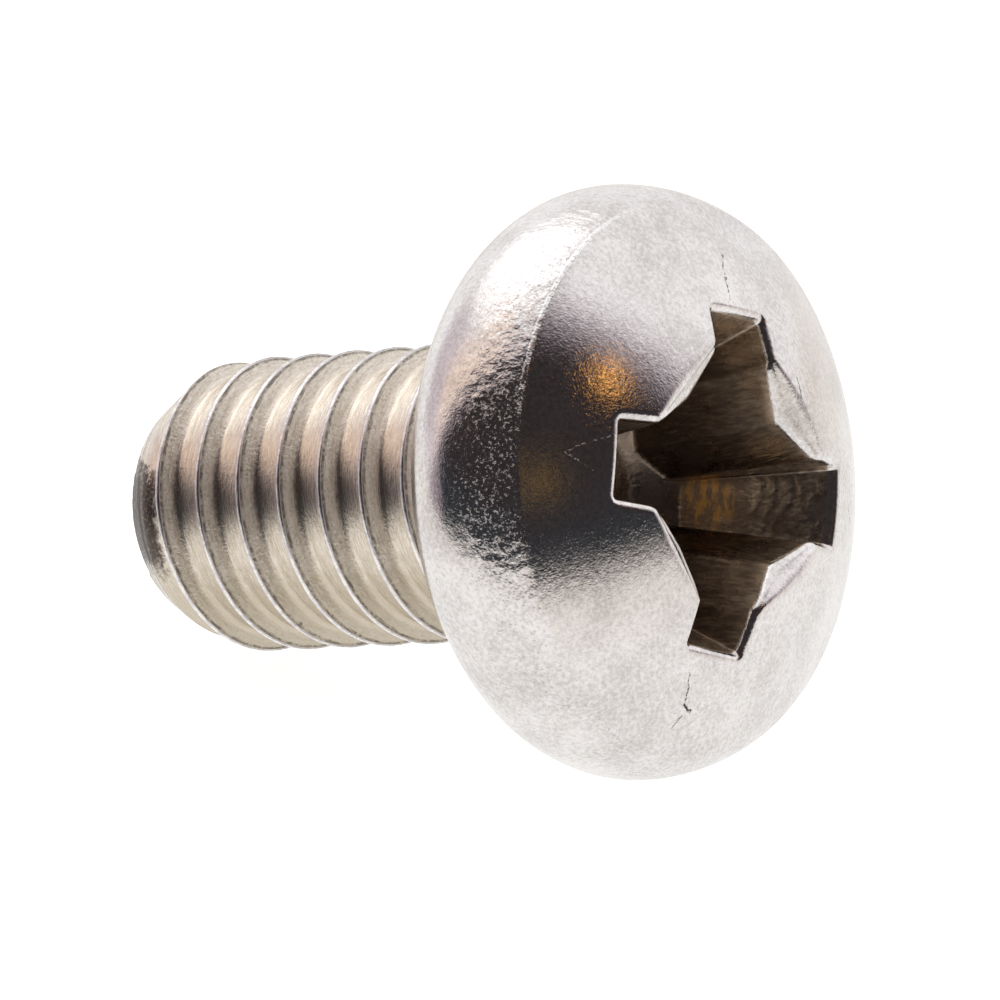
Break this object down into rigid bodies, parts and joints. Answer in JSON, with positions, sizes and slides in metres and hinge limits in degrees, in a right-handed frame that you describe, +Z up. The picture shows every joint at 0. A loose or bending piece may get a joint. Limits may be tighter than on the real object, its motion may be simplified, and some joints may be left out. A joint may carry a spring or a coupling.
{
  "type": "machine screw",
  "caption": "Short pan head machine screw with a raised crown, a cross recess type H and a rolled right-hand thread, lying on its side.",
  "frame": {"origin": "on the surface that the screw lies on, under the middle of its box", "axes": "+Z up, +X along the screw's shadow from its end towards its head, so the screw's own axis rises 17 degrees towards the head"},
  "size_m": [0.0098, 0.0076, 0.0074],
  "materials": {
    "screw_steel": "bright tumbled steel, with a darker punched recess and rolled thread flanks"
  },
  "bodies": {
    "root": {"machine_screw": "screw_steel"}
  },
  "joints": []
}
